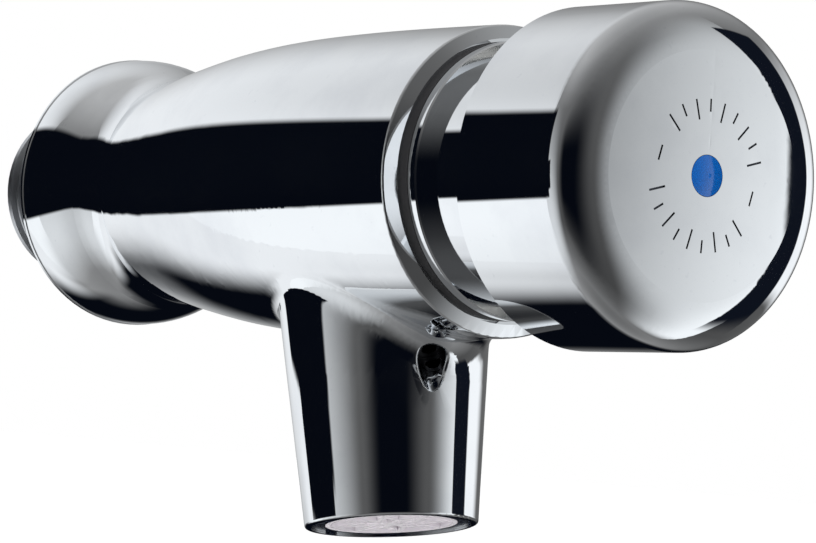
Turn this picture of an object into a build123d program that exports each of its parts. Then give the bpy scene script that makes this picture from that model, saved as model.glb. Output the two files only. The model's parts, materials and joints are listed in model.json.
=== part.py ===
"""A push timed tap for a wall: the button is pushed in, water runs, and a dashpot brings the button back.

The origin is the centre of the wall plane, on the axis of the supply thread. The tap's front is -Y, the wall
lies at Y = 0, and the spout hangs towards -Z. A distance called "at" is measured from the wall towards the
front, along the tap's axis. A level along the spout is measured from the tap's axis down the spout's axis.
All sizes are in millimetres.
"""

import os
from math import asin, cos, degrees, hypot, radians, sin, tan

from build123d import *

# Supply thread, G 1/2
thread_radius = 10.4775
thread_pitch = 1.814
thread_depth = 1.162
thread_half_angle = 27.5
thread_length = 14.5
thread_end_chamfer = 1.0
supply_radius = 6.5

# Barrel, a swelling outline from the ball to the rim: each radius is the belly's less its step
belly_at, belly_radius = 48.0, 16.2
tail_at, tail_step = 9.5, 3.55
rise_at, rise_step = 20.0, 2.1
shoulder_at, shoulder_step = 29.0, 0.9
rim_at, rim_step = 72.5, 0.48
rim_bevel_width, rim_bevel_drop, rim_round = 1.4, 0.5, 0.25
rim_radius = belly_radius - rim_step

# Wall flange: a short lip, and the ball between it and the barrel
flange_step, flange_lip, flange_edge = 0.1, 0.8, 0.2
ball_at, ball_step = 1.2, 0.2
crease_fillet = 8.0
flange_radius = belly_radius - flange_step
ball_radius = belly_radius - ball_step

# Spout, a tapered round tube that leans forward
spout_at = 50.5
spout_lean = 12.0
spout_length = 36.5
spout_root_step, spout_mouth_radius = 3.72, 9.0
spout_root_radius = belly_radius - spout_root_step
spout_fillet = 3.5
spout_mouth_round = 0.3
waterway_radius = 4.4

# Bore of the body, from the wall to the rim
chamber_at, chamber_radius = 4.0, 8.6
sleeve_at, sleeve_radius = 19.2, 11.0
collar_bore_depth, collar_bore_radius = 14.7, 12.0
collar_bore_at = rim_at - collar_bore_depth

# Clearances
slide_clearance = 0.05
seat_clearance = 0.05
thread_clearance = 0.1
free_clearance = 0.3

# Strainer in the supply bore
strainer_at, strainer_bore_radius = -1.0, 7.5
strainer_thickness, strainer_rim = 2.0, 1.0
screen_thickness, screen_hole_radius, screen_hole_spacing = 0.6, 0.5, 1.45
clip_thickness, clip_depth, clip_width, clip_gap = 0.8, 0.4, 1.2, 4.0

# Cartridge sleeve
sleeve_inner_radius, sleeve_body_radius = 8.0, 9.6
sleeve_land, sleeve_end_wall = 5.8, 2.5
sleeve_flange_radius, sleeve_flange = 11.8, 1.0
port_radius = 4.8
seat_width, seat_height = 0.8, 0.5
window_count, window_width, window_length, window_at = 6, 4.0, 8.0, 50.5
sleeve_ring_wire = 0.9
cartridge_gasket_thickness = 0.6

# Stem guide in the sleeve
guide_at, guide_length = 30.0, 3.0
guide_hole_count, guide_hole_radius, guide_hole_circle = 5, 1.4, 5.2

# Dashpot
cylinder_inner_radius, cylinder_wall = 6.6, 1.3
cylinder_land_radius = 9.9
cylinder_inset, cylinder_length, cylinder_head = 0.5, 15.7, 1.2
cylinder_front_at = rim_at - cylinder_inset
cylinder_rear_at = cylinder_front_at - cylinder_length
needle_radius, needle_offset, needle_clearance, needle_length = 0.3, 3.9, 0.08, 13.0
needle_seat = 0.6

# Collar, with the neck that the button slides on
gasket_radius, gasket_width, gasket_thickness = 14.0, 1.7, 1.2
collar_flange_radius, collar_flange, collar_flange_edge = 14.0, 1.3, 0.15
neck_radius, neck_length, neck_edge = 12.6, 14.5, 0.4
pocket_depth, pocket_radius = 9.0, 8.6
gasket_front_at = rim_at + gasket_thickness
neck_at = gasket_front_at + collar_flange
neck_front_at = neck_at + neck_length
pocket_at = neck_front_at - pocket_depth
stem_seal_length, bush_wall = 2.4, 1.6

# Push button: its skirt laps over the neck
button_lap, button_length, button_rear_edge = 5.0, 16.3, 0.25
button_rear_at = neck_front_at - button_lap
button_face_at = button_rear_at + button_length
button_dome, button_round_length, button_round_width = 0.4, 3.1, 4.7
button_wall, button_front_wall, button_taper = 1.7, 2.1, 0.3
hub_radius, hub_length = 5.4, 6.4
guide_ring_wall, guide_ring_inset, guide_ring_length = 2.25, 1.2, 3.4
snap_ring_inset, snap_ring_wire, snap_ring_gap = 6.2, 0.4, 1.6
snap_groove_clearance = 0.1
snap_ring_at = button_face_at - snap_ring_inset

# Stem and its travel
stem_radius, stem_inset, stem_chamfer = 2.5, 3.8, 0.3
stem_front_at = button_face_at - stem_inset
spigot_radius, spigot_tail = 1.5, 0.8
stem_flange_radius, stem_flange = 3.6, 0.8
travel = 8.0

# Valve at the rear end of the stem
washer_radius, washer_thickness = 6.8, 2.0
carrier_wall, carrier_thickness, carrier_rim = 0.6, 3.0, 1.0
nut_flats, nut_thickness = 5.5, 2.4

# Piston
piston_inset, piston_length, piston_radius = 5.4, 3.2, 6.3
piston_at = cylinder_front_at - piston_inset
piston_seal_length, piston_seal_depth, piston_seal_lip = 1.8, 1.4, 0.6
e_clip_thickness, e_clip_radius, e_clip_depth, e_clip_gap = 0.7, 3.4, 0.5, 2.6

# Index plug at the centre of the button
plug_radius, plug_depth, plug_proud = 1.9, 1.8, 0.25

# Engraved marks around the plug: two arcs of radial strokes, and a dash between them at each side
mark_outer_radius, mark_long, mark_short = 7.1, 1.9, 1.2
mark_width, mark_depth = 0.2, 0.14
mark_count, mark_arc = 9, 118.0
mark_dash_radius, mark_dash_length = 6.0, 1.45
mark_turn = -13.0

# Return spring
spring_wire, spring_radius, spring_turns = 0.6, 7.6, 5.0
spring_seat_thickness, spring_end_gap = 0.6, 0.1

# Mouth of the spout
housing_radius, housing_length, housing_wall = 8.3, 7.0, 1.4
housing_recess, housing_lip = 0.2, 1.3
star_depth, star_plate, star_wall, star_ring = 5.2, 0.8, 0.5, 0.5
star_points, star_notch_radius, star_hub_radius = 8, 3.0, 1.2
star_hole_radius = 0.8
outlet_seal_thickness, outlet_seal_width = 1.0, 1.6

# Grub screw that locks the collar, from the spout's front root up to the collar's skirt
lock_radius, lock_lean = 1.5, 35.5
lock_offset, lock_inset, lock_mouth_depth = -2.0, 7.5, 18.6
lock_length, lock_reach, lock_edge = 6.0, 16.0, 0.3
lock_point, lock_socket_flats, lock_socket_depth = 0.7, 1.5, 1.6

section = Plane(origin=(0, 0, 0), x_dir=(0, -1, 0), z_dir=(-1, 0, 0))
tap_axis = Axis((0, 0, 0), (0, -1, 0))
lean = radians(spout_lean)
spout_root = Plane(
    origin=(0, -spout_at, 0), x_dir=(1, 0, 0), z_dir=(0, -sin(lean), -cos(lean))
)


def across(at):
    """The plane across the tap's axis at a distance from the wall, facing the front."""
    return Plane(origin=(0, -at, 0), x_dir=(1, 0, 0), z_dir=(0, -1, 0))


def ring_section(start, end, inner, outer, mode=Mode.ADD):
    """The half section of a ring about the tap's axis, in a sketch on the section plane."""
    with Locations(((start + end) / 2, (inner + outer) / 2)):
        Rectangle(end - start, outer - inner, mode=mode)


def turned(rings, grooves=()):
    """A piece turned about the tap's axis, from rings of (start, end, inner radius, outer radius)."""
    with BuildPart() as piece:
        with BuildSketch(section):
            for ring in rings:
                ring_section(*ring)
            for groove in grooves:
                ring_section(*groove, mode=Mode.SUBTRACT)
        revolve(axis=tap_axis)
    return piece


def wire_ring(at, ring_radius, wire_radius):
    """A ring of round wire about the tap's axis."""
    with BuildPart() as piece:
        with BuildSketch(section):
            with Locations((at, ring_radius)):
                Circle(wire_radius)
        revolve(axis=tap_axis)
    return piece


def spout_rings(rings):
    """A piece about the spout's axis, from rings of (start level, end level, inner radius, outer radius)."""
    with BuildPart() as piece:
        for start, end, inner, outer in rings:
            with BuildSketch(spout_root.offset(start)):
                Circle(outer)
                if inner > 0:
                    Circle(inner, mode=Mode.SUBTRACT)
            extrude(amount=end - start)
    return piece


# Body: the outside
flank = thread_depth * tan(radians(thread_half_angle))
thread_flat = thread_pitch / 2 - flank
thread_root = thread_radius - thread_depth
groove_count = int((thread_length - thread_flat - thread_end_chamfer) / thread_pitch)
tail_radius = belly_radius - tail_step
thread_outline = [(0, 0), (0, thread_radius)]
for groove in range(groove_count):
    crest_end = -thread_flat - groove * thread_pitch
    thread_outline += [
        (crest_end, thread_radius),
        (crest_end - flank, thread_root),
        (crest_end - flank - thread_flat, thread_root),
        (crest_end - 2 * flank - thread_flat, thread_radius),
    ]
thread_outline += [
    (thread_end_chamfer - thread_length, thread_radius),
    (-thread_length, thread_radius - thread_end_chamfer),
    (-thread_length, 0),
]
with BuildPart() as body:
    with BuildSketch(section):
        with BuildLine():
            Polyline(*thread_outline, close=True)
        make_face()
    revolve(axis=tap_axis)
    with BuildSketch(section):
        with BuildLine():
            Polyline(
                (0, 0),
                (0, flange_radius - flange_edge),
                (flange_edge, flange_radius),
                (flange_lip - flange_edge, flange_radius),
                (flange_lip, flange_radius - flange_edge),
                (flange_lip, 0),
                close=True,
            )
        make_face()
    revolve(axis=tap_axis)
    with BuildSketch(section):
        with Locations((ball_at, 0)):
            Circle(ball_radius)
        ring_section(flange_lip / 2, ball_at + 2 * ball_radius, 0, 2 * ball_radius, mode=Mode.INTERSECT)
        with BuildLine():
            Spline(
                (tail_at, tail_radius),
                (rise_at, belly_radius - rise_step),
                (shoulder_at, belly_radius - shoulder_step),
                (belly_at, belly_radius),
                (rim_at - rim_bevel_drop, rim_radius),
            )
            Polyline(
                (rim_at - rim_bevel_drop, rim_radius),
                (rim_at, rim_radius - rim_bevel_width),
                (rim_at, 0),
                (tail_at, 0),
                (tail_at, tail_radius),
            )
        make_face()
    revolve(axis=tap_axis)
    crease = body.edges().filter_by(GeomType.CIRCLE).sort_by_distance((0, -tail_at, -tail_radius))[0]
    fillet(crease, crease_fillet)
    rim_edges = body.edges().filter_by(GeomType.CIRCLE)
    rim_edge = rim_edges.sort_by_distance((0, rim_bevel_drop - rim_at, -rim_radius))[0]
    fillet(rim_edge, rim_round)
    with BuildSketch(spout_root):
        Circle(spout_root_radius)
    with BuildSketch(spout_root.offset(spout_length)):
        Circle(spout_mouth_radius)
    loft()
    joint_edges = body.edges(Select.LAST).filter_by(
        lambda edge: edge.geom_type not in (GeomType.LINE, GeomType.CIRCLE)
    )
    fillet(joint_edges, spout_fillet)
    mouth_edge = body.edges().filter_by(GeomType.CIRCLE).sort_by(Axis.Z)[0]
    fillet(mouth_edge, spout_mouth_round)

    # Body: the bores
    clip_at = strainer_at - strainer_thickness
    with BuildSketch(section):
        ring_section(-2 * thread_length, strainer_at, 0, strainer_bore_radius)
        ring_section(clip_at - clip_thickness, clip_at, 0, strainer_bore_radius + clip_depth)
        ring_section(strainer_at, chamber_at, 0, supply_radius)
        ring_section(chamber_at, sleeve_at, 0, chamber_radius)
        ring_section(sleeve_at, collar_bore_at, 0, sleeve_radius)
        ring_section(collar_bore_at, 2 * rim_at, 0, collar_bore_radius)
    revolve(axis=tap_axis, mode=Mode.SUBTRACT)
    with BuildSketch(spout_root):
        Circle(waterway_radius)
    extrude(amount=spout_length, mode=Mode.SUBTRACT)
    housing_end = spout_length - housing_recess
    housing_start = housing_end - housing_length
    outlet_seal_start = housing_start - outlet_seal_thickness
    with BuildSketch(spout_root.offset(outlet_seal_start)):
        Circle(housing_radius + seat_clearance)
    extrude(amount=spout_length, mode=Mode.SUBTRACT)

    # Body: the hole of the grub screw
    collar_thread_radius = collar_bore_radius - thread_clearance
    lock_point_radius = lock_radius - seat_clearance - lock_point
    lock_lift = lock_point_radius * sin(radians(lock_lean))
    lock_tip_depth = collar_thread_radius + seat_clearance + lock_lift
    lock_mouth = Vector(lock_offset, lock_inset - rim_at, -lock_mouth_depth)
    lock_tip = Vector(
        lock_offset * lock_tip_depth / lock_mouth_depth,
        lock_mouth.Y + (lock_mouth_depth - lock_tip_depth) * tan(radians(lock_lean)),
        -lock_tip_depth,
    )
    lock_plane = Plane(origin=lock_tip, x_dir=(1, 0, 0), z_dir=lock_mouth - lock_tip)
    with BuildSketch(lock_plane.offset(-lock_radius / 2)):
        Circle(lock_radius)
    extrude(amount=lock_reach, mode=Mode.SUBTRACT)
    lock_edges = body.edges(Select.LAST).filter_by(lambda edge: edge.center().Z < lock_mouth.Z + lock_radius)
    fillet(lock_edges, lock_edge)
body.part.label = "body"

# Strainer and its clip
with BuildPart() as inlet_strainer:
    strainer_radius = strainer_bore_radius - seat_clearance
    screen_radius = strainer_radius - strainer_rim
    with BuildSketch(across(clip_at)):
        Circle(strainer_radius)
        Circle(screen_radius, mode=Mode.SUBTRACT)
    extrude(amount=strainer_thickness)
    with BuildSketch(across(strainer_at - strainer_thickness / 2 - screen_thickness / 2)):
        Circle(screen_radius)
        hole_limit = screen_radius - 2 * screen_hole_radius
        per_row = 2 * int(hole_limit / screen_hole_spacing) + 1
        with GridLocations(screen_hole_spacing, screen_hole_spacing, per_row, per_row) as grid:
            hole_points = [spot.position for spot in grid.local_locations]
        inside = [(p.X, p.Y) for p in hole_points if hypot(p.X, p.Y) < hole_limit]
        with Locations(*inside):
            Circle(screen_hole_radius, mode=Mode.SUBTRACT)
    extrude(amount=screen_thickness)
inlet_strainer.part.label = "inlet_strainer"

with BuildPart() as strainer_clip:
    with BuildSketch(across(clip_at - clip_thickness)):
        Circle(strainer_bore_radius + clip_depth)
        Circle(strainer_bore_radius + clip_depth - clip_width, mode=Mode.SUBTRACT)
        with Locations((0, -strainer_bore_radius)):
            Rectangle(clip_gap, strainer_bore_radius, mode=Mode.SUBTRACT)
    extrude(amount=clip_thickness)
strainer_clip.part.label = "strainer_clip"

# Cartridge sleeve and its seals
sleeve_flange_at = collar_bore_at + cartridge_gasket_thickness
sleeve_front_at = sleeve_flange_at + sleeve_flange
sleeve_ring_at = sleeve_at + sleeve_land / 2
sleeve_ring_radius = sleeve_radius - seat_clearance - sleeve_ring_wire
groove_half = sleeve_ring_wire + seat_clearance
with BuildPart() as cartridge_sleeve:
    with BuildSketch(section):
        ring_section(sleeve_at, sleeve_at + sleeve_land, sleeve_inner_radius, sleeve_radius - seat_clearance)
        ring_section(sleeve_at, sleeve_at + sleeve_end_wall, port_radius, sleeve_radius - seat_clearance)
        ring_section(sleeve_at - seat_height, sleeve_at, port_radius, port_radius + seat_width)
        ring_section(sleeve_at, sleeve_front_at, sleeve_inner_radius, sleeve_body_radius)
        ring_section(sleeve_flange_at, sleeve_front_at, sleeve_inner_radius, sleeve_flange_radius)
        ring_section(
            sleeve_ring_at - groove_half,
            sleeve_ring_at + groove_half,
            sleeve_ring_radius - groove_half,
            sleeve_radius,
            mode=Mode.SUBTRACT,
        )
    revolve(axis=tap_axis)
    for window in range(window_count):
        turn = radians(window * 360 / window_count)
        window_plane = Plane(
            origin=(0, -window_at, 0), x_dir=(0, -1, 0), z_dir=(sin(turn), 0, -cos(turn))
        )
        with BuildSketch(window_plane):
            SlotOverall(window_length, window_width)
        extrude(amount=sleeve_radius, mode=Mode.SUBTRACT)
cartridge_sleeve.part.label = "cartridge_sleeve"

sleeve_o_ring = wire_ring(sleeve_ring_at, sleeve_ring_radius, sleeve_ring_wire)
sleeve_o_ring.part.label = "sleeve_o_ring"

cartridge_gasket = turned(
    [(collar_bore_at, sleeve_flange_at, sleeve_body_radius + seat_clearance, sleeve_flange_radius)]
)
cartridge_gasket.part.label = "cartridge_gasket"

with BuildPart() as stem_guide:
    with BuildSketch(across(guide_at)):
        Circle(sleeve_inner_radius - seat_clearance)
        Circle(stem_radius + slide_clearance, mode=Mode.SUBTRACT)
        with PolarLocations(guide_hole_circle, guide_hole_count):
            Circle(guide_hole_radius, mode=Mode.SUBTRACT)
    extrude(amount=guide_length)
stem_guide.part.label = "stem_guide"

# Dashpot cylinder and its needle
cylinder_head_at = cylinder_front_at - cylinder_head
with BuildPart() as dashpot_cylinder:
    with BuildSketch(section):
        ring_section(
            cylinder_rear_at,
            cylinder_front_at,
            cylinder_inner_radius,
            cylinder_inner_radius + cylinder_wall,
        )
        ring_section(sleeve_front_at, cylinder_front_at, cylinder_inner_radius, cylinder_land_radius)
        ring_section(
            cylinder_head_at, cylinder_front_at, stem_radius + free_clearance, cylinder_land_radius
        )
    revolve(axis=tap_axis)
    with BuildSketch(across(cylinder_head_at)):
        with Locations((0, needle_offset)):
            Circle(needle_radius)
    extrude(amount=needle_seat, mode=Mode.SUBTRACT)
dashpot_cylinder.part.label = "dashpot_cylinder"

with BuildPart() as metering_needle:
    with BuildSketch(across(cylinder_head_at + needle_seat)):
        with Locations((0, needle_offset)):
            Circle(needle_radius)
    extrude(amount=-needle_length)
metering_needle.part.label = "metering_needle"

# Collar with the neck, its gasket, the seal and bush of the stem
bush_radius = stem_radius + slide_clearance + bush_wall
bush_at = cylinder_front_at + stem_seal_length
with BuildPart() as collar:
    with BuildSketch(section):
        ring_section(
            sleeve_front_at,
            cylinder_front_at,
            cylinder_land_radius + seat_clearance,
            collar_thread_radius,
        )
        ring_section(cylinder_front_at, gasket_front_at, bush_radius, collar_thread_radius)
        with BuildLine():
            Polyline(
                (gasket_front_at, bush_radius),
                (gasket_front_at, collar_flange_radius - collar_flange_edge),
                (gasket_front_at + collar_flange_edge, collar_flange_radius),
                (neck_at - collar_flange_edge, collar_flange_radius),
                (neck_at, collar_flange_radius - collar_flange_edge),
                (neck_at, neck_radius),
                (neck_front_at - neck_edge, neck_radius),
                (neck_front_at, neck_radius - neck_edge),
                (neck_front_at, pocket_radius),
                (pocket_at, pocket_radius),
                (pocket_at, bush_radius),
                close=True,
            )
        make_face()
    revolve(axis=tap_axis)
collar.part.label = "collar"

collar_gasket = turned([(rim_at, gasket_front_at, gasket_radius - gasket_width, gasket_radius)])
collar_gasket.part.label = "collar_gasket"

stem_seal = turned([(cylinder_front_at, bush_at, stem_radius + slide_clearance, bush_radius)])
stem_seal.part.label = "stem_seal"

stem_bush = turned([(bush_at, pocket_at, stem_radius + slide_clearance, bush_radius)])
stem_bush.part.label = "stem_bush"

spring_seat_front_at = pocket_at + spring_seat_thickness
spring_seat = turned(
    [(pocket_at, spring_seat_front_at, stem_radius + free_clearance, pocket_radius - seat_clearance)]
)
spring_seat.part.label = "spring_seat"

# Stem with the valve at its rear end
washer_front_at = sleeve_at - seat_height
washer_at = washer_front_at - washer_thickness
carrier_at = washer_at - carrier_thickness
nut_at = carrier_at - nut_thickness
piston_front_at = piston_at + piston_length
e_clip_ats = [piston_at - e_clip_thickness, piston_front_at]
e_clip_inner_radius = stem_radius - e_clip_depth
with BuildPart() as stem:
    with BuildSketch(section):
        ring_section(nut_at - spigot_tail, washer_at, 0, spigot_radius)
        ring_section(washer_at, stem_front_at, 0, stem_radius)
        ring_section(washer_front_at, washer_front_at + stem_flange, 0, stem_flange_radius)
        for at in e_clip_ats:
            ring_section(
                at, at + e_clip_thickness, e_clip_inner_radius, 2 * stem_radius, mode=Mode.SUBTRACT
            )
        ring_section(
            snap_ring_at - snap_ring_wire - snap_groove_clearance,
            snap_ring_at + snap_ring_wire + snap_groove_clearance,
            stem_radius + snap_groove_clearance - snap_ring_wire - slide_clearance,
            2 * stem_radius,
            mode=Mode.SUBTRACT,
        )
    revolve(axis=tap_axis)
    stem_end = stem.edges().filter_by(GeomType.CIRCLE).sort_by(Axis.Y)[0]
    chamfer(stem_end, stem_chamfer)
stem.part.label = "stem"

valve_washer = turned([(washer_at, washer_front_at, stem_radius, washer_radius)])
valve_washer.part.label = "valve_washer"

carrier_rim_radius = washer_radius + seat_clearance
valve_carrier = turned(
    [
        (carrier_at, washer_at, spigot_radius, carrier_rim_radius + carrier_wall),
        (washer_at, washer_at + carrier_rim, carrier_rim_radius, carrier_rim_radius + carrier_wall),
    ]
)
valve_carrier.part.label = "valve_carrier"

with BuildPart() as valve_nut:
    with BuildSketch(across(nut_at)):
        RegularPolygon(nut_flats / 2, 6, major_radius=False)
        Circle(spigot_radius, mode=Mode.SUBTRACT)
    extrude(amount=nut_thickness)
valve_nut.part.label = "valve_nut"

# Piston, its seal and clips
piston_seal_at = piston_at + (piston_length - piston_seal_length) / 2
piston_seal_front_at = piston_seal_at + piston_seal_length
piston_groove_radius = piston_radius - piston_seal_depth
with BuildPart() as piston:
    with BuildSketch(section):
        ring_section(piston_at, piston_front_at, stem_radius, piston_radius)
        ring_section(
            piston_seal_at,
            piston_seal_front_at,
            piston_groove_radius,
            2 * piston_radius,
            mode=Mode.SUBTRACT,
        )
    revolve(axis=tap_axis)
    with BuildSketch(across(piston_at)):
        with Locations((0, needle_offset)):
            Circle(needle_radius + needle_clearance)
    extrude(amount=piston_length, mode=Mode.SUBTRACT)
piston.part.label = "piston"

lip_radius = cylinder_inner_radius - slide_clearance
with BuildPart() as piston_seal:
    with BuildSketch(section):
        with BuildLine():
            Polyline(
                (piston_seal_at, piston_groove_radius),
                (piston_seal_at, piston_radius - slide_clearance),
                (piston_seal_front_at - piston_seal_lip, lip_radius),
                (piston_seal_front_at, lip_radius),
                (piston_seal_at + piston_seal_lip, (piston_groove_radius + lip_radius) / 2),
                (piston_seal_front_at, piston_groove_radius + piston_seal_lip),
                (piston_seal_front_at, piston_groove_radius),
                close=True,
            )
        make_face()
    revolve(axis=tap_axis)
piston_seal.part.label = "piston_seal"

with BuildPart() as piston_clips:
    for at in e_clip_ats:
        with BuildSketch(across(at)):
            Circle(e_clip_radius)
            Circle(e_clip_inner_radius, mode=Mode.SUBTRACT)
            with Locations((0, -e_clip_radius)):
                Rectangle(e_clip_gap, e_clip_radius, mode=Mode.SUBTRACT)
        extrude(amount=e_clip_thickness)
piston_clips.part.label = "piston_clips"

# Push button
cup_radius = neck_radius + slide_clearance + guide_ring_wall
button_rear_radius = cup_radius + button_wall
button_front_radius = button_rear_radius - button_taper
button_flat_radius = button_front_radius - button_round_width
button_flat_at = button_face_at - button_dome
button_side_at = button_flat_at - button_round_length
cup_at = button_flat_at - button_front_wall
hub_at = cup_at - hub_length
snap_groove_radius = stem_radius + snap_groove_clearance + snap_ring_wire + seat_clearance
mark_floor_at = button_face_at - button_dome * (mark_dash_radius / button_flat_radius) ** 2 - mark_depth
with BuildPart() as button_cap:
    with BuildSketch(section):
        with BuildLine():
            ThreePointArc(
                (button_face_at, 0),
                (button_face_at - button_dome / 4, button_flat_radius / 2),
                (button_flat_at, button_flat_radius),
            )
            Spline(
                (button_flat_at, button_flat_radius),
                (
                    button_side_at + button_round_length * cos(radians(45)),
                    button_flat_radius + button_round_width * sin(radians(45)),
                ),
                (button_side_at, button_front_radius),
                tangents=[(-2 * button_dome, button_flat_radius), (-1, 0)],
            )
            Polyline(
                (button_side_at, button_front_radius),
                (button_rear_at + button_rear_edge, button_rear_radius),
                (button_rear_at, button_rear_radius - button_rear_edge),
                (button_rear_at, 0),
                (button_face_at, 0),
            )
        make_face()
        ring_section(button_rear_at, cup_at, 0, cup_radius, mode=Mode.SUBTRACT)
        ring_section(hub_at, cup_at, 0, hub_radius)
        ring_section(hub_at, stem_front_at, 0, stem_radius + slide_clearance, mode=Mode.SUBTRACT)
        ring_section(
            snap_ring_at - snap_ring_wire - seat_clearance,
            snap_ring_at + snap_ring_wire + seat_clearance,
            0,
            snap_groove_radius,
            mode=Mode.SUBTRACT,
        )
        ring_section(
            button_face_at - plug_depth,
            button_face_at,
            0,
            plug_radius + seat_clearance,
            mode=Mode.SUBTRACT,
        )
    revolve(axis=tap_axis)
    with BuildSketch(across(mark_floor_at)):
        for side in (90, -90):
            for mark in range(mark_count):
                angle = side + mark_turn + mark_arc * (mark / (mark_count - 1) - 0.5)
                length = mark_long if mark % 2 == 0 else mark_short
                with PolarLocations(mark_outer_radius - length / 2, 1, start_angle=angle):
                    Rectangle(length, mark_width)
        with PolarLocations(mark_dash_radius, 2, start_angle=mark_turn):
            Rectangle(mark_width, mark_dash_length)
    extrude(amount=button_dome + mark_depth, mode=Mode.SUBTRACT)
button_cap.part.label = "button_cap"

plug_rear_at = button_face_at - plug_depth
plug_dome_radius = (plug_radius**2 + plug_proud**2) / (2 * plug_proud)
with BuildPart() as index_plug:
    with BuildSketch(section):
        with BuildLine():
            Polyline(
                (button_face_at + plug_proud, 0),
                (plug_rear_at, 0),
                (plug_rear_at, plug_radius),
                (button_face_at, plug_radius),
            )
            CenterArc(
                center=(button_face_at + plug_proud - plug_dome_radius, 0),
                radius=plug_dome_radius,
                start_angle=0,
                arc_size=degrees(asin(plug_radius / plug_dome_radius)),
            )
        make_face()
    revolve(axis=tap_axis)
index_plug.part.label = "index_plug"

guide_ring_at = button_rear_at + guide_ring_inset
button_guide_ring = turned(
    [(guide_ring_at, guide_ring_at + guide_ring_length, neck_radius + slide_clearance, cup_radius)]
)
button_guide_ring.part.label = "button_guide_ring"

with BuildPart() as button_snap_ring:
    with BuildSketch(section):
        with Locations((snap_ring_at, stem_radius + snap_groove_clearance)):
            Circle(snap_ring_wire)
    revolve(axis=tap_axis)
    with BuildSketch(across(snap_ring_at)):
        with Locations((0, -hub_radius / 2)):
            Rectangle(snap_ring_gap, hub_radius)
    extrude(amount=2 * snap_ring_wire, both=True, mode=Mode.SUBTRACT)
button_snap_ring.part.label = "button_snap_ring"

# Return spring, from its seat in the neck to the inside of the button
spring_start_at = spring_seat_front_at + spring_end_gap + spring_wire
spring_height = cup_at - spring_end_gap - spring_wire - spring_start_at
with BuildPart() as return_spring:
    with BuildLine():
        coil = Helix(
            pitch=spring_height / spring_turns,
            height=spring_height,
            radius=spring_radius,
            center=(0, -spring_start_at, 0),
            direction=(0, -1, 0),
        )
    with BuildSketch(Plane(origin=coil @ 0, z_dir=coil % 0)):
        Circle(spring_wire)
    sweep(path=coil, is_frenet=True)
return_spring.part.label = "return_spring"

# Mouth of the spout: seal, housing and star insert
outlet_seal = spout_rings(
    [(outlet_seal_start, housing_start, housing_radius - outlet_seal_width, housing_radius)]
)
outlet_seal.part.label = "outlet_seal"

star_at = housing_end - star_depth
housing_inner_radius = housing_radius - housing_wall
outlet_housing = spout_rings(
    [
        (housing_start, star_at, housing_inner_radius - housing_lip, housing_radius),
        (star_at, housing_end, housing_inner_radius, housing_radius),
    ]
)
outlet_housing.part.label = "outlet_housing"

star_radius = housing_inner_radius - seat_clearance
star_tip_radius = star_radius - star_ring / 2
star_corners = []
for corner in range(2 * star_points):
    corner_radius = star_tip_radius if corner % 2 == 0 else star_notch_radius
    corner_turn = radians(corner * 180 / star_points)
    star_corners.append((corner_radius * cos(corner_turn), corner_radius * sin(corner_turn)))
with BuildPart() as outlet_star:
    with BuildSketch(spout_root.offset(star_at)):
        Circle(star_radius)
        with PolarLocations((star_tip_radius + star_notch_radius) / 2, 2 * star_points):
            Circle(star_hole_radius, mode=Mode.SUBTRACT)
    extrude(amount=star_plate)
    with BuildSketch(spout_root.offset(star_at)):
        Circle(star_radius)
        Circle(star_radius - star_ring, mode=Mode.SUBTRACT)
    extrude(amount=star_depth)
    with BuildSketch(spout_root.offset(star_at)):
        with BuildLine():
            star_line = Polyline(*star_corners, close=True)
        make_face()
        offset(amount=-star_wall, mode=Mode.SUBTRACT)
        Circle(star_hub_radius)
        with PolarLocations(0, star_points, start_angle=180 / star_points):
            with Locations((star_notch_radius / 2, 0)):
                Rectangle(star_notch_radius, star_wall)
    extrude(amount=star_depth)
outlet_star.part.label = "outlet_star"

# Grub screw
with BuildPart() as lock_screw:
    with BuildSketch(lock_plane):
        Circle(lock_radius - seat_clearance)
    extrude(amount=lock_length)
    chamfer(lock_screw.edges().filter_by(GeomType.CIRCLE).sort_by(Axis.Z)[-1], lock_point)
    with BuildSketch(lock_plane.offset(lock_length)):
        RegularPolygon(lock_socket_flats / 2, 6, major_radius=False)
    extrude(amount=-lock_socket_depth, mode=Mode.SUBTRACT)
lock_screw.part.label = "lock_screw"

os.makedirs("parts", exist_ok=True)
for piece in (
    body,
    inlet_strainer,
    strainer_clip,
    cartridge_sleeve,
    sleeve_o_ring,
    cartridge_gasket,
    stem_guide,
    dashpot_cylinder,
    metering_needle,
    collar,
    collar_gasket,
    stem_seal,
    stem_bush,
    spring_seat,
    stem,
    valve_washer,
    valve_carrier,
    valve_nut,
    piston,
    piston_seal,
    piston_clips,
    button_cap,
    index_plug,
    button_guide_ring,
    button_snap_ring,
    return_spring,
    outlet_seal,
    outlet_housing,
    outlet_star,
    lock_screw,
):
    export_step(piece.part, f"parts/{piece.part.label}.step")
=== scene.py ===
# A push timed tap in polished chrome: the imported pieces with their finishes, the studio and the camera.
# Lengths are in metres. The wall is at Y = 0, the tap's front is -Y, and the spout hangs towards -Z.

import json
from math import cos, radians, sin

import bmesh
import bpy
from mathutils import Matrix, Vector

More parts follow.
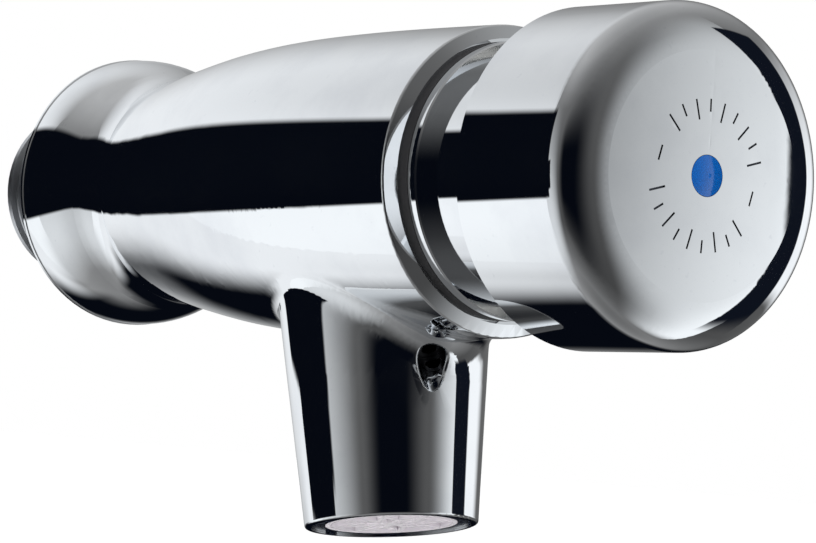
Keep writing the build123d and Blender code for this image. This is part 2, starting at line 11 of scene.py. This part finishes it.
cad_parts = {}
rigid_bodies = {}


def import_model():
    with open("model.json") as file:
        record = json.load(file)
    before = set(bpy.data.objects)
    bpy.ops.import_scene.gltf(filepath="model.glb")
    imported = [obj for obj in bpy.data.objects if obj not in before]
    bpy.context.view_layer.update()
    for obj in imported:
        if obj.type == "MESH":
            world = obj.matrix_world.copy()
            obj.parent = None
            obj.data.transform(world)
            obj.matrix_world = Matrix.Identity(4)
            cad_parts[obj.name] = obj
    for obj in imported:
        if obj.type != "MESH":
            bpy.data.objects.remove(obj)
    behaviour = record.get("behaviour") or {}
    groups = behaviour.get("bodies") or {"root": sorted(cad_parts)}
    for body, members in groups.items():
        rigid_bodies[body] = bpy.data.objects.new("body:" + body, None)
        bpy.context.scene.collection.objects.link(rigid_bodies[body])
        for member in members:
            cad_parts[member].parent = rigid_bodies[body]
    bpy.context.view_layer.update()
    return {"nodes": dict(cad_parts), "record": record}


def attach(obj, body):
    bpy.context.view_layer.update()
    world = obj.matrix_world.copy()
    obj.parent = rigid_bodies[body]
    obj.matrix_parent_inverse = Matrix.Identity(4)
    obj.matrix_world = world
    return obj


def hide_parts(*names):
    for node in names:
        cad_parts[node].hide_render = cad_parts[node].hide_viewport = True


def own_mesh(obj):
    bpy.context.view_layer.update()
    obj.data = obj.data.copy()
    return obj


for leftover in list(bpy.data.objects):
    bpy.data.objects.remove(leftover)
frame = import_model()
nodes = frame["nodes"]


# Shader node helpers


def add_node(tree, kind, settings=None, **inputs):
    """A node of this kind. Inputs are given by name, or by number as in _2, as values or links."""
    node = tree.nodes.new(kind)
    for name, value in (settings or {}).items():
        setattr(node, name, value)
    for name, value in inputs.items():
        key = int(name[1:]) if name[0] == "_" else name.replace("_", " ")
        if isinstance(value, bpy.types.NodeSocket):
            tree.links.new(value, node.inputs[key])
        else:
            node.inputs[key].default_value = value
    return node


def object_place(tree):
    """A point's place on the piece."""
    return tree.nodes.new("ShaderNodeTexCoord").outputs["Object"]


def split_place(tree, place):
    """The three parts of a place."""
    return add_node(tree, "ShaderNodeSeparateXYZ", Vector=place).outputs


def math_node(tree, operation, first, second=0.0):
    """The output of a Math node."""
    return add_node(tree, "ShaderNodeMath", {"operation": operation}, _0=first, _1=second).outputs[0]


def length_of(tree, first, second):
    """The length of a vector that has these two parts."""
    squares = [math_node(tree, "MULTIPLY", part, part) for part in (first, second)]
    return math_node(tree, "SQRT", math_node(tree, "ADD", *squares))


def noise(tree, place, scale, detail, roughness=0.5):
    """A noise from 0 to 1."""
    texture = add_node(
        tree, "ShaderNodeTexNoise", Vector=place, Scale=scale, Detail=detail, Roughness=roughness
    )
    return texture.outputs["Fac"]


def ramp_node(tree, factor, *stops):
    """The colour output of a ramp with stops of (position, grey)."""
    ramp = add_node(tree, "ShaderNodeValToRGB", Fac=factor)
    elements = ramp.color_ramp.elements
    while len(elements) < len(stops):
        elements.new(0.5)
    for element, (position, grey) in zip(elements, stops):
        element.position = position
        element.color = (grey, grey, grey, 1)
    return ramp.outputs["Color"]


def mix_colours(tree, factor, first, second):
    """A colour that goes from the first to the second as the factor goes from 0 to 1."""
    ends = [(*end, 1) if isinstance(end, tuple) else end for end in (first, second)]
    mix = add_node(tree, "ShaderNodeMix", {"data_type": "RGBA"}, _0=factor, _6=ends[0], _7=ends[1])
    return mix.outputs[2]


def mix_values(tree, mask, first, second):
    """A value that goes from the first to the second as the mask goes from 0 to 1."""
    mix = add_node(tree, "ShaderNodeMix", {"data_type": "FLOAT"}, _0=mask, _2=first, _3=second)
    return mix.outputs[0]


def mask_between(tree, value, low, high):
    """A mask that goes from 0 to 1 as a length goes from low to high."""
    return add_node(tree, "ShaderNodeMapRange", Value=value, _1=low, _2=high).outputs["Result"]


def shade_range(tree, factor, low, high):
    """A value that goes from low to high as the factor goes from 0 to 1."""
    return add_node(tree, "ShaderNodeMapRange", Value=factor, _3=low, _4=high).outputs["Result"]


def new_group(name, inputs, outputs):
    """An empty node group with inputs of (name, value), and the names of its outputs."""
    tree = bpy.data.node_groups.new(name, "ShaderNodeTree")
    for label, value in inputs:
        socket = tree.interface.new_socket(label, in_out="INPUT", socket_type="NodeSocketFloat")
        socket.default_value = value
    for label in outputs:
        tree.interface.new_socket(label, in_out="OUTPUT", socket_type="NodeSocketFloat")
    given = tree.nodes.new("NodeGroupInput").outputs
    return tree, given, tree.nodes.new("NodeGroupOutput").inputs


# Effects that several finishes share


def build_handling():
    """Faint smudges and drying marks on a polished surface, and the slow waver of buffed metal."""
    tree, given, result = new_group(
        "handling", [("Smudge Scale", 90.0), ("Waver Scale", 60.0)], ["Smudge", "Height"]
    )
    place = object_place(tree)
    cloud = noise(tree, place, given["Smudge Scale"], 5.0, 0.6)
    speck = noise(tree, place, 1400.0, 2.0)
    soft = ramp_node(tree, cloud, (0.45, 0.0), (0.75, 1.0))
    spots = ramp_node(tree, speck, (0.68, 0.0), (0.74, 1.0))
    both = math_node(tree, "MAXIMUM", soft, math_node(tree, "MULTIPLY", spots, 0.5))
    tree.links.new(both, result["Smudge"])
    tree.links.new(noise(tree, place, given["Waver Scale"], 1.0), result["Height"])
    return tree


def build_lathe_lines():
    """Fine rings left by turning or drawing, round the tap's axis."""
    tree, given, result = new_group(
        "lathe_lines", [("Ring Scale", 2500.0), ("Patch Scale", 120.0)], ["Rings", "Patches"]
    )
    place = object_place(tree)
    parts = split_place(tree, place)
    across = length_of(tree, parts[0], parts[2])
    line = add_node(tree, "ShaderNodeCombineXYZ", X=parts[1], Y=across).outputs[0]
    tree.links.new(noise(tree, line, given["Ring Scale"], 3.0), result["Rings"])
    tree.links.new(noise(tree, place, given["Patch Scale"], 4.0), result["Patches"])
    return tree


def build_mould_grain():
    """The fine pitting and slow cloudiness of a moulded surface."""
    tree, given, result = new_group(
        "mould_grain", [("Grain Scale", 3000.0), ("Cloud Scale", 150.0)], ["Grain", "Cloud"]
    )
    place = object_place(tree)
    tree.links.new(noise(tree, place, given["Grain Scale"], 3.0), result["Grain"])
    tree.links.new(noise(tree, place, given["Cloud Scale"], 3.0), result["Cloud"])
    return tree


handling = build_handling()
lathe_lines = build_lathe_lines()
mould_grain = build_mould_grain()


# Places on the tap that its finishes follow. A pair is where a mask is 0 and where it is 1.

spout_lean = radians(12.0)
spout_foot = Vector((0, -0.0505, 0))
spout_shift = -(Matrix.Rotation(spout_lean, 3, "X") @ spout_foot)

thread_start = (0.0, -0.0003)  # from the wall
wall_plane = (0.0002, 0.0004)  # from the wall
supply_bore = (0.0088, 0.0086)  # out from the tap's axis
barrel_bore = (0.0123, 0.0121)  # out from the tap's axis
spout_bore = (0.00843, 0.00838)  # out from the spout's axis
spout_bore_start = (-0.010, -0.011)  # along the spout
spout_bore_end = (-0.034, -0.033)  # along the spout

button_face, dome_fall = 0.1008, 2.96  # the domed face's middle, and its fall by the distance squared
mark_depth = (0.00002, 0.00007)  # below the face
marks_inside = (0.0022, 0.0024)  # out from the tap's axis
marks_outside = (0.0079, 0.0077)  # out from the tap's axis
near_face = (button_face - 0.002, button_face - 0.0015)  # from the wall


# Finishes


def new_finish(name, **fixed):
    """A material with its Principled shader's constant values set."""
    finish = bpy.data.materials.new(name)
    finish.use_nodes = True
    shader = finish.node_tree.nodes["Principled BSDF"]
    for label, value in fixed.items():
        shader.inputs[label.replace("_", " ")].default_value = value
    return finish, finish.node_tree, shader


def place_group(tree, group, **values):
    """A shared effect in a material, with its own values."""
    return add_node(tree, "ShaderNodeGroup", {"node_tree": group}, **values).outputs


def dress(tree, shader, colour, rough):
    """The shader takes this colour and roughness."""
    tree.links.new(colour, shader.inputs["Base Color"])
    tree.links.new(rough, shader.inputs["Roughness"])


def raise_surface(tree, shader, height, strength, distance):
    """A bump from this height."""
    bump = add_node(tree, "ShaderNodeBump", Strength=strength, Distance=distance, Height=height)
    tree.links.new(bump.outputs["Normal"], shader.inputs["Normal"])


def axis_distances(tree, place):
    """How far a point is from the wall along the tap's axis, and how far out from that axis."""
    parts = split_place(tree, place)
    return math_node(tree, "MULTIPLY", parts[1], -1.0), length_of(tree, parts[0], parts[2])


def polished_chrome(name, waver=60.0):
    """Bright chrome over buffed brass: its tree, shader, colour and roughness, to be worn further."""
    finish, tree, shader = new_finish(name, Metallic=1.0)
    marks = place_group(tree, handling, Smudge_Scale=85.0, Waver_Scale=waver)
    colour = mix_colours(tree, marks["Smudge"], (0.87, 0.89, 0.91), (0.78, 0.80, 0.83))
    rough = shade_range(tree, marks["Smudge"], 0.02, 0.05)
    dress(tree, shader, colour, rough)
    raise_surface(tree, shader, marks["Height"], 0.04, 0.0002)
    return finish, tree, shader, colour, rough


def rework(tree, shader, mask, colour, rough, new_colour, new_rough):
    """Where the mask is 1, the surface takes another colour and roughness."""
    colour = mix_colours(tree, mask, colour, new_colour)
    rough = mix_values(tree, mask, rough, new_rough)
    dress(tree, shader, colour, rough)
    return colour, rough


def plated_body(name):
    """Chrome outside, a duller thread, and the bare brass of the bores."""
    finish, tree, shader, colour, rough = polished_chrome(name)
    place = object_place(tree)
    from_wall, out = axis_distances(tree, place)
    lines = place_group(tree, lathe_lines, Ring_Scale=1800.0)
    thread = mask_between(tree, from_wall, *thread_start)
    worn = mix_colours(tree, lines["Rings"], (0.45, 0.46, 0.48), (0.74, 0.76, 0.78))
    colour, rough = rework(tree, shader, thread, colour, rough, worn, 0.38)

    down_spout = add_node(
        tree, "ShaderNodeMapping", Vector=place, Location=spout_shift, Rotation=(spout_lean, 0, 0)
    )
    leaning = split_place(tree, down_spout.outputs[0])
    spout_out = length_of(tree, leaning[0], leaning[1])
    started = mask_between(tree, leaning[2], *spout_bore_start)
    unplated = math_node(tree, "MULTIPLY", started, mask_between(tree, leaning[2], *spout_bore_end))
    in_spout = math_node(tree, "MULTIPLY", mask_between(tree, spout_out, *spout_bore), unplated)
    in_barrel = mask_between(tree, out, *barrel_bore)
    in_supply = mask_between(tree, out, *supply_bore)
    in_front = mask_between(tree, from_wall, *wall_plane)
    bored = math_node(tree, "MAXIMUM", in_spout, mix_values(tree, in_front, in_supply, in_barrel))
    brass = mix_colours(tree, lines["Patches"], (0.50, 0.36, 0.15), (0.74, 0.56, 0.27))
    rework(tree, shader, bored, colour, rough, brass, 0.3)
    return finish


def engraved_button(name):
    """Chrome whose engraved marks are dull, and dark at the bottom with painted shade."""
    finish, tree, shader, colour, rough = polished_chrome(name, waver=75.0)
    from_wall, out = axis_distances(tree, object_place(tree))
    fall = math_node(tree, "MULTIPLY", math_node(tree, "MULTIPLY", out, out), dome_fall)
    depth = math_node(tree, "SUBTRACT", math_node(tree, "SUBTRACT", button_face, fall), from_wall)
    inner, outer = mask_between(tree, out, *marks_inside), mask_between(tree, out, *marks_outside)
    ring = math_node(tree, "MULTIPLY", inner, outer)
    sunk = math_node(tree, "MULTIPLY", mask_between(tree, depth, *mark_depth), ring)
    engraved = math_node(tree, "MULTIPLY", sunk, mask_between(tree, from_wall, *near_face))
    pits = place_group(tree, mould_grain)
    # Painted shade: the sunk marks take a dark colour that stands in for the shade in their grooves
    painted_groove_shade = mix_colours(tree, pits["Grain"], (0.05, 0.055, 0.07), (0.16, 0.17, 0.20))
    rework(tree, shader, engraved, colour, rough, painted_groove_shade, 0.42)
    return finish


def turned_metal(name, low, high, roughness):
    """Metal with the rings of its turning left on it."""
    finish, tree, shader = new_finish(name, Metallic=1.0)
    lines = place_group(tree, lathe_lines)
    colour = mix_colours(tree, lines["Patches"], low, high)
    rough = shade_range(tree, lines["Rings"], roughness - 0.06, roughness + 0.08)
    dress(tree, shader, colour, rough)
    raise_surface(tree, shader, lines["Rings"], 0.25, 0.00004)
    return finish


def moulded(name, low, high, roughness, grain_depth=0.3, **fixed):
    """Moulded plastic or rubber."""
    finish, tree, shader = new_finish(name, **fixed)
    pits = place_group(tree, mould_grain)
    colour = mix_colours(tree, pits["Cloud"], low, high)
    rough = shade_range(tree, pits["Grain"], roughness - 0.06, roughness + 0.06)
    dress(tree, shader, colour, rough)
    raise_surface(tree, shader, pits["Grain"], grain_depth, 0.00003)
    return finish


finishes = {
    "chrome_body": plated_body("chrome_body"),
    "chrome_collar": polished_chrome("chrome_collar", waver=90.0)[0],
    "chrome_button": engraved_button("chrome_button"),
    "brass": turned_metal("turned_brass", (0.55, 0.40, 0.16), (0.78, 0.60, 0.28), 0.28),
    "stainless": turned_metal("turned_steel", (0.50, 0.50, 0.50), (0.66, 0.66, 0.65), 0.26),
    "stainless_screen": turned_metal("pressed_steel", (0.48, 0.48, 0.47), (0.62, 0.62, 0.61), 0.32),
    "spring_steel": turned_metal("spring_steel", (0.42, 0.42, 0.43), (0.58, 0.58, 0.60), 0.30),
    "black_steel": turned_metal(
        "oxidised_steel", (0.018, 0.018, 0.020), (0.045, 0.045, 0.05), 0.34
    ),
    "rubber": moulded("black_rubber", (0.012, 0.012, 0.013), (0.030, 0.030, 0.033), 0.62),
    "fibre_gasket": moulded("red_fibre", (0.34, 0.10, 0.06), (0.50, 0.18, 0.11), 0.80, 0.6),
    "white_plastic": moulded("white_acetal", (0.74, 0.73, 0.69), (0.84, 0.83, 0.80), 0.36),
    "black_plastic": moulded("black_nylon", (0.004, 0.006, 0.014), (0.012, 0.016, 0.032), 0.22),
    "clear_plastic": moulded(
        "milky_plastic", (0.92, 0.86, 0.93), (0.98, 0.95, 0.98), 0.24, Transmission_Weight=0.12
    ),
    "blue_plastic": moulded(
        "blue_plastic", (0.0, 0.085, 0.37), (0.0, 0.11, 0.44), 0.14, 0.03, Coat_Weight=0.5
    ),
}
for subpart in frame["record"]["subparts"]:
    nodes[subpart["node"]].material_slots[0].material = finishes[subpart["material_slot"]]


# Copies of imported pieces

merge_gap = 0.000002


def merged_shape(mesh):
    """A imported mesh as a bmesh, with its loose triangles joined."""
    shape = bmesh.new()
    shape.from_mesh(mesh)
    bmesh.ops.remove_doubles(shape, verts=shape.verts, dist=merge_gap)
    return shape


def finished_mesh(name, shape, crease):
    """The mesh of a bmesh, smooth but for the edges that are sharper than this angle."""
    mesh = bpy.data.meshes.new(name)
    shape.to_mesh(mesh)
    shape.free()
    if "custom_normal" in mesh.attributes:
        mesh.attributes.remove(mesh.attributes["custom_normal"])
    mesh.shade_smooth()
    mesh.set_sharp_from_angle(angle=radians(crease))
    return mesh


def add_object(name, data):
    """An object in the scene with this mesh, lamp or camera."""
    thing = bpy.data.objects.new(name, data)
    bpy.context.scene.collection.objects.link(thing)
    return thing


def add_piece(name, mesh, slot):
    """A piece of the tap that has this mesh and the slot's finish."""
    mesh.materials.clear()
    mesh.materials.append(finishes[slot])
    return add_object(name, mesh)


# The body's casting, with its blend into the spout divided finely, so that reflections run smoothly over it

blend_out = (0.0095, 0.0185)  # out from the spout's axis
blend_level = (0.004, 0.024)  # below the tap's axis, along the spout
barrel_inside = 0.0148
lock_mouth, lock_reach = Vector((-0.002, -0.065, -0.0186)), 0.0045


def is_spout_blend(point):
    """Whether a point lies on the outside of the blend between the barrel and the spout."""
    leaning = Matrix.Rotation(spout_lean, 3, "X") @ (point - spout_foot)
    return (
        blend_out[0] < leaning.xy.length < blend_out[1]
        and blend_level[0] < -leaning.z < blend_level[1]
        and point.xz.length > barrel_inside
        and (point - lock_mouth).length > lock_reach
    )


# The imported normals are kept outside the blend
plain = nodes["body"].data.copy()
kept = plain.attributes.new("plain_normal", "FLOAT_VECTOR", "CORNER")
for slot, corner in zip(kept.data, plain.corner_normals):
    slot.vector = corner.vector
shape = merged_shape(plain)
share = shape.verts.layers.float.new("blend_share")
blend = [edge for edge in shape.edges if all(is_spout_blend(vert.co) for vert in edge.verts)]
bmesh.ops.subdivide_edges(shape, edges=blend, cuts=2, smooth=1.0, use_grid_fill=True)
inside = [
    vert for vert in shape.verts
    if is_spout_blend(vert.co)
    and all(is_spout_blend(edge.other_vert(vert).co) for edge in vert.link_edges)
]
for _ in range(5):
    bmesh.ops.smooth_vert(
        shape, verts=inside, factor=0.5, use_axis_x=True, use_axis_y=True, use_axis_z=True
    )
for vert in inside:
    vert[share] = 1.0
casting_mesh = finished_mesh("body_casting", shape, 28)
smoothed = [corner.vector.copy() for corner in casting_mesh.corner_normals]
plain_normal = casting_mesh.attributes["plain_normal"].data
blend_share = casting_mesh.attributes["blend_share"].data
normals = []
for loop in casting_mesh.loops:
    normal = plain_normal[loop.index].vector
    normal = normal.lerp(smoothed[loop.index], blend_share[loop.vertex_index].value)
    normals.append(normal.normalized())
casting_mesh.normals_split_custom_set(normals)
casting = add_piece("body_casting", casting_mesh, "chrome_body")
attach(casting, "tap")
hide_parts("body")


# The return spring, which shortens as the button is pushed; here it is a smooth copy of the imported coil,
# with a mesh of its own, and keeps one length

spring_mesh = finished_mesh("spring_coil", merged_shape(nodes["return_spring"].data), 40)
spring = add_piece("spring_coil", spring_mesh, "spring_steel")
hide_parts("return_spring")
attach(spring, "tap")
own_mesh(spring)


# Studio: a pale floor, even light, and a grey tent with black and white cards that only reflections see

tap_middle = Vector((0, -0.045, 0))
near_black = (0.002, 0.003, 0.006)
tent_radius = 3.0
floor_level = -0.12


def direction(azimuth, elevation):
    """The unit vector of a direction: azimuth 0 is the tap's front, and it grows towards +X."""
    a, e = radians(azimuth), radians(elevation)
    return Vector((sin(a) * cos(e), -cos(a) * cos(e), sin(e)))


def new_stage(name, shape, shade):
    """A floor, card or backdrop that isn't part of the tap."""
    mesh = bpy.data.meshes.new(name)
    shape.to_mesh(mesh)
    shape.free()
    mesh.materials.append(shade)
    thing = add_object(name, mesh)
    return thing


def reflected_only(thing):
    """Only the reflections in the tap show this stage piece."""
    for ray in ("camera", "diffuse", "shadow", "transmission", "volume_scatter"):
        setattr(thing, "visible_" + ray, False)


def glow(name, colour=(0, 0, 0)):
    """A material that shows a colour without any light on it, its node tree, and its emission."""
    shade = bpy.data.materials.new(name)
    shade.use_nodes = True
    tree = shade.node_tree
    tree.nodes.remove(tree.nodes["Principled BSDF"])
    light = add_node(tree, "ShaderNodeEmission", Color=(*colour, 1), Strength=1.0)
    tree.links.new(light.outputs[0], tree.nodes["Material Output"].inputs["Surface"])
    return shade, tree, light


def faded_ends(tree, along, first_fade, last_fade):
    """A mask of 1, but for fades of these widths at the two ends of a value that runs from 0 to 1."""
    ends = []
    for start, width in ((along, first_fade), (math_node(tree, "SUBTRACT", 1.0, along), last_fade)):
        settings = {"interpolation_type": "SMOOTHSTEP"}
        fade = add_node(tree, "ShaderNodeMapRange", settings, Value=start, _2=width)
        ends.append(fade.outputs["Result"])
    return math_node(tree, "MULTIPLY", *ends)


def card(name, left, right, heights, colour, left_fade, right_fade, low_fade, high_fade):
    """A card that stands between two places, each an azimuth and a distance, with soft edges."""
    shade, tree, light = glow(name, colour)
    across, up, _ = split_place(tree, tree.nodes.new("ShaderNodeTexCoord").outputs["UV"])
    sides = faded_ends(tree, across, left_fade, right_fade)
    ends = faded_ends(tree, up, low_fade, high_fade)
    clear = tree.nodes.new("ShaderNodeBsdfTransparent")
    solid = math_node(tree, "MULTIPLY", sides, ends)
    both = add_node(
        tree, "ShaderNodeMixShader", _0=solid, _1=clear.outputs[0], _2=light.outputs[0]
    )
    tree.links.new(both.outputs[0], tree.nodes["Material Output"].inputs["Surface"])
    start, end = (tap_middle + place[1] * direction(place[0], 0) for place in (left, right))
    low, high = heights
    width = end - start
    away = width.cross(Vector((0, 0, 1))).normalized()
    facing = Matrix((width, (0, 0, high - low), away)).transposed()
    middle = (start + end) / 2 + Vector((0, 0, (low + high) / 2))
    shape = bmesh.new()
    shape.loops.layers.uv.new("flat")
    bmesh.ops.create_grid(shape, x_segments=1, y_segments=1, size=0.5, calc_uvs=True)
    shape.transform(Matrix.Translation(middle) @ facing.to_4x4())
    reflected_only(new_stage(name, shape, shade))


card("left_wall", (-71, 1.4), (-166, 0.96), (-1.55, 0.62), (1.06, 1.09, 1.11), 0.68, 0.1, 0.73, 0.63)
card("rear_wall", (-137, 1.45), (-230, 0.66), (-1.05, 1.35), (0.93, 0.95, 0.97), 0.02, 0.35, 0.25, 0.5)
card("front_wall", (12, 1.3), (58, 1.6), (-2.2, 1.75), (1.02, 1.05, 1.07), 0.86, 0.02, 0.27, 0.55)
card("right_wall", (49, 1.85), (112, 1.5), (-0.37, 0.95), (1.01, 1.03, 1.05), 0.09, 0.27, 0.11, 0.63)
card("low_rear_card", (111, 0.86), (193, 0.49), (-1.2, -0.04), near_black, 0.37, 0.19, 0.6, 0.13)
card("right_card", (48, 0.6), (74, 0.6), (-0.32, 0.41), (0.005, 0.007, 0.013), 0.03, 0.1, 0.2, 0.03)
card("left_low_card", (-173, 0.93), (-112, 0.78), (-0.175, 0.04), near_black, 0.1, 0.02, 0.12, 0.05)
card("camera_card", (-69, 0.65), (10, 0.49), (-0.37, 0.27), near_black, 0.38, 0.31, 0.42, 0.35)
card("near_card", (-102.5, 0.14), (-172.5, 0.3), (-0.046, 0.086), near_black, 0.03, 0.06, 0.04, 0.1)

# The tent is dark in front of the tap and paler behind it
shade, tree, light = glow("grey_tent")
place = split_place(tree, tree.nodes.new("ShaderNodeNewGeometry").outputs["Position"])
height = mask_between(tree, place[2], -tent_radius, tent_radius)
depth = mask_between(tree, place[1], -tent_radius, tent_radius)
front_grey = ramp_node(
    tree, height, (0.0, 0.02), (0.07, 0.12), (0.25, 0.06), (0.5, 0.08), (0.75, 0.12), (0.93, 0.2)
)
rear_grey = ramp_node(
    tree, height, (0.0, 0.34), (0.07, 0.36), (0.25, 0.12), (0.5, 0.15), (0.75, 0.2), (0.93, 0.62)
)
tree.links.new(mix_colours(tree, depth, front_grey, rear_grey), light.inputs["Color"])
shape = bmesh.new()
bmesh.ops.create_uvsphere(shape, u_segments=48, v_segments=24, radius=tent_radius)
reflected_only(new_stage("grey_tent", shape, shade))

# The world lights the tap evenly, and shows white behind it
world = bpy.data.worlds.new("studio_light")
bpy.context.scene.world = world
world.use_nodes = True
tree = world.node_tree
path = tree.nodes.new("ShaderNodeLightPath").outputs
shiny = math_node(tree, "MAXIMUM", path["Is Glossy Ray"], path["Is Transmission Ray"])
seen = math_node(tree, "MAXIMUM", path["Is Camera Ray"], shiny)
even = add_node(tree, "ShaderNodeBackground", Color=(1, 1, 1, 1), Strength=0.75)
white = add_node(tree, "ShaderNodeBackground", Color=(1, 1, 1, 1), Strength=1.0)
final = add_node(tree, "ShaderNodeMixShader", _0=seen, _1=even.outputs[0], _2=white.outputs[0])
tree.links.new(final.outputs[0], tree.nodes["World Output"].inputs["Surface"])

# The floor is lifted to white for the camera, and keeps the tap's shadow
shade, tree, shader = new_finish("pale_floor", Base_Color=(0.93, 0.93, 0.93, 1), Roughness=0.9)
path = tree.nodes.new("ShaderNodeLightPath").outputs
lift = math_node(tree, "MULTIPLY", path["Is Camera Ray"], 0.35)
lifted = add_node(tree, "ShaderNodeEmission", Strength=lift)
lit = add_node(tree, "ShaderNodeAddShader", _0=shader.outputs[0], _1=lifted.outputs[0])
tree.links.new(lit.outputs[0], tree.nodes["Material Output"].inputs["Surface"])
shape = bmesh.new()
bmesh.ops.create_grid(shape, x_segments=1, y_segments=1, size=6)
shape.transform(Matrix.Translation((0, 0, floor_level)))
floor = new_stage("floor", shape, shade)
floor.visible_glossy = False

# One soft lamp, high on the left
lamp = bpy.data.lights.new("key_light", "AREA")
lamp.size = 0.5
lamp.energy = 6.0
lamp_side, lamp_distance = direction(-70, 55), 0.9
key_light = add_object("key_light", lamp)
key_light.matrix_world = (
    Matrix.Translation(tap_middle + lamp_distance * lamp_side)
    @ lamp_side.to_track_quat("Z", "Y").to_matrix().to_4x4()
)
key_light.visible_glossy = False

# Camera, at the photograph's angle
camera_place = Vector((-0.16436, -0.27749, -0.02624))
camera_aim = Vector((0.59590, 0.80067, 0.06186))
camera_roll = radians(5.573)
lens = bpy.data.cameras.new("camera")
lens.sensor_width = 36
lens.lens = 116.38
lens.clip_start = 0.005
camera = add_object("camera", lens)
camera.matrix_world = (
    Matrix.Translation(camera_place)
    @ camera_aim.to_track_quat("-Z", "Y").to_matrix().to_4x4()
    @ Matrix.Rotation(camera_roll, 4, "Z")
)
bpy.context.scene.camera = camera
bpy.context.scene.view_settings.view_transform = "Standard"

bpy.context.view_layer.update()
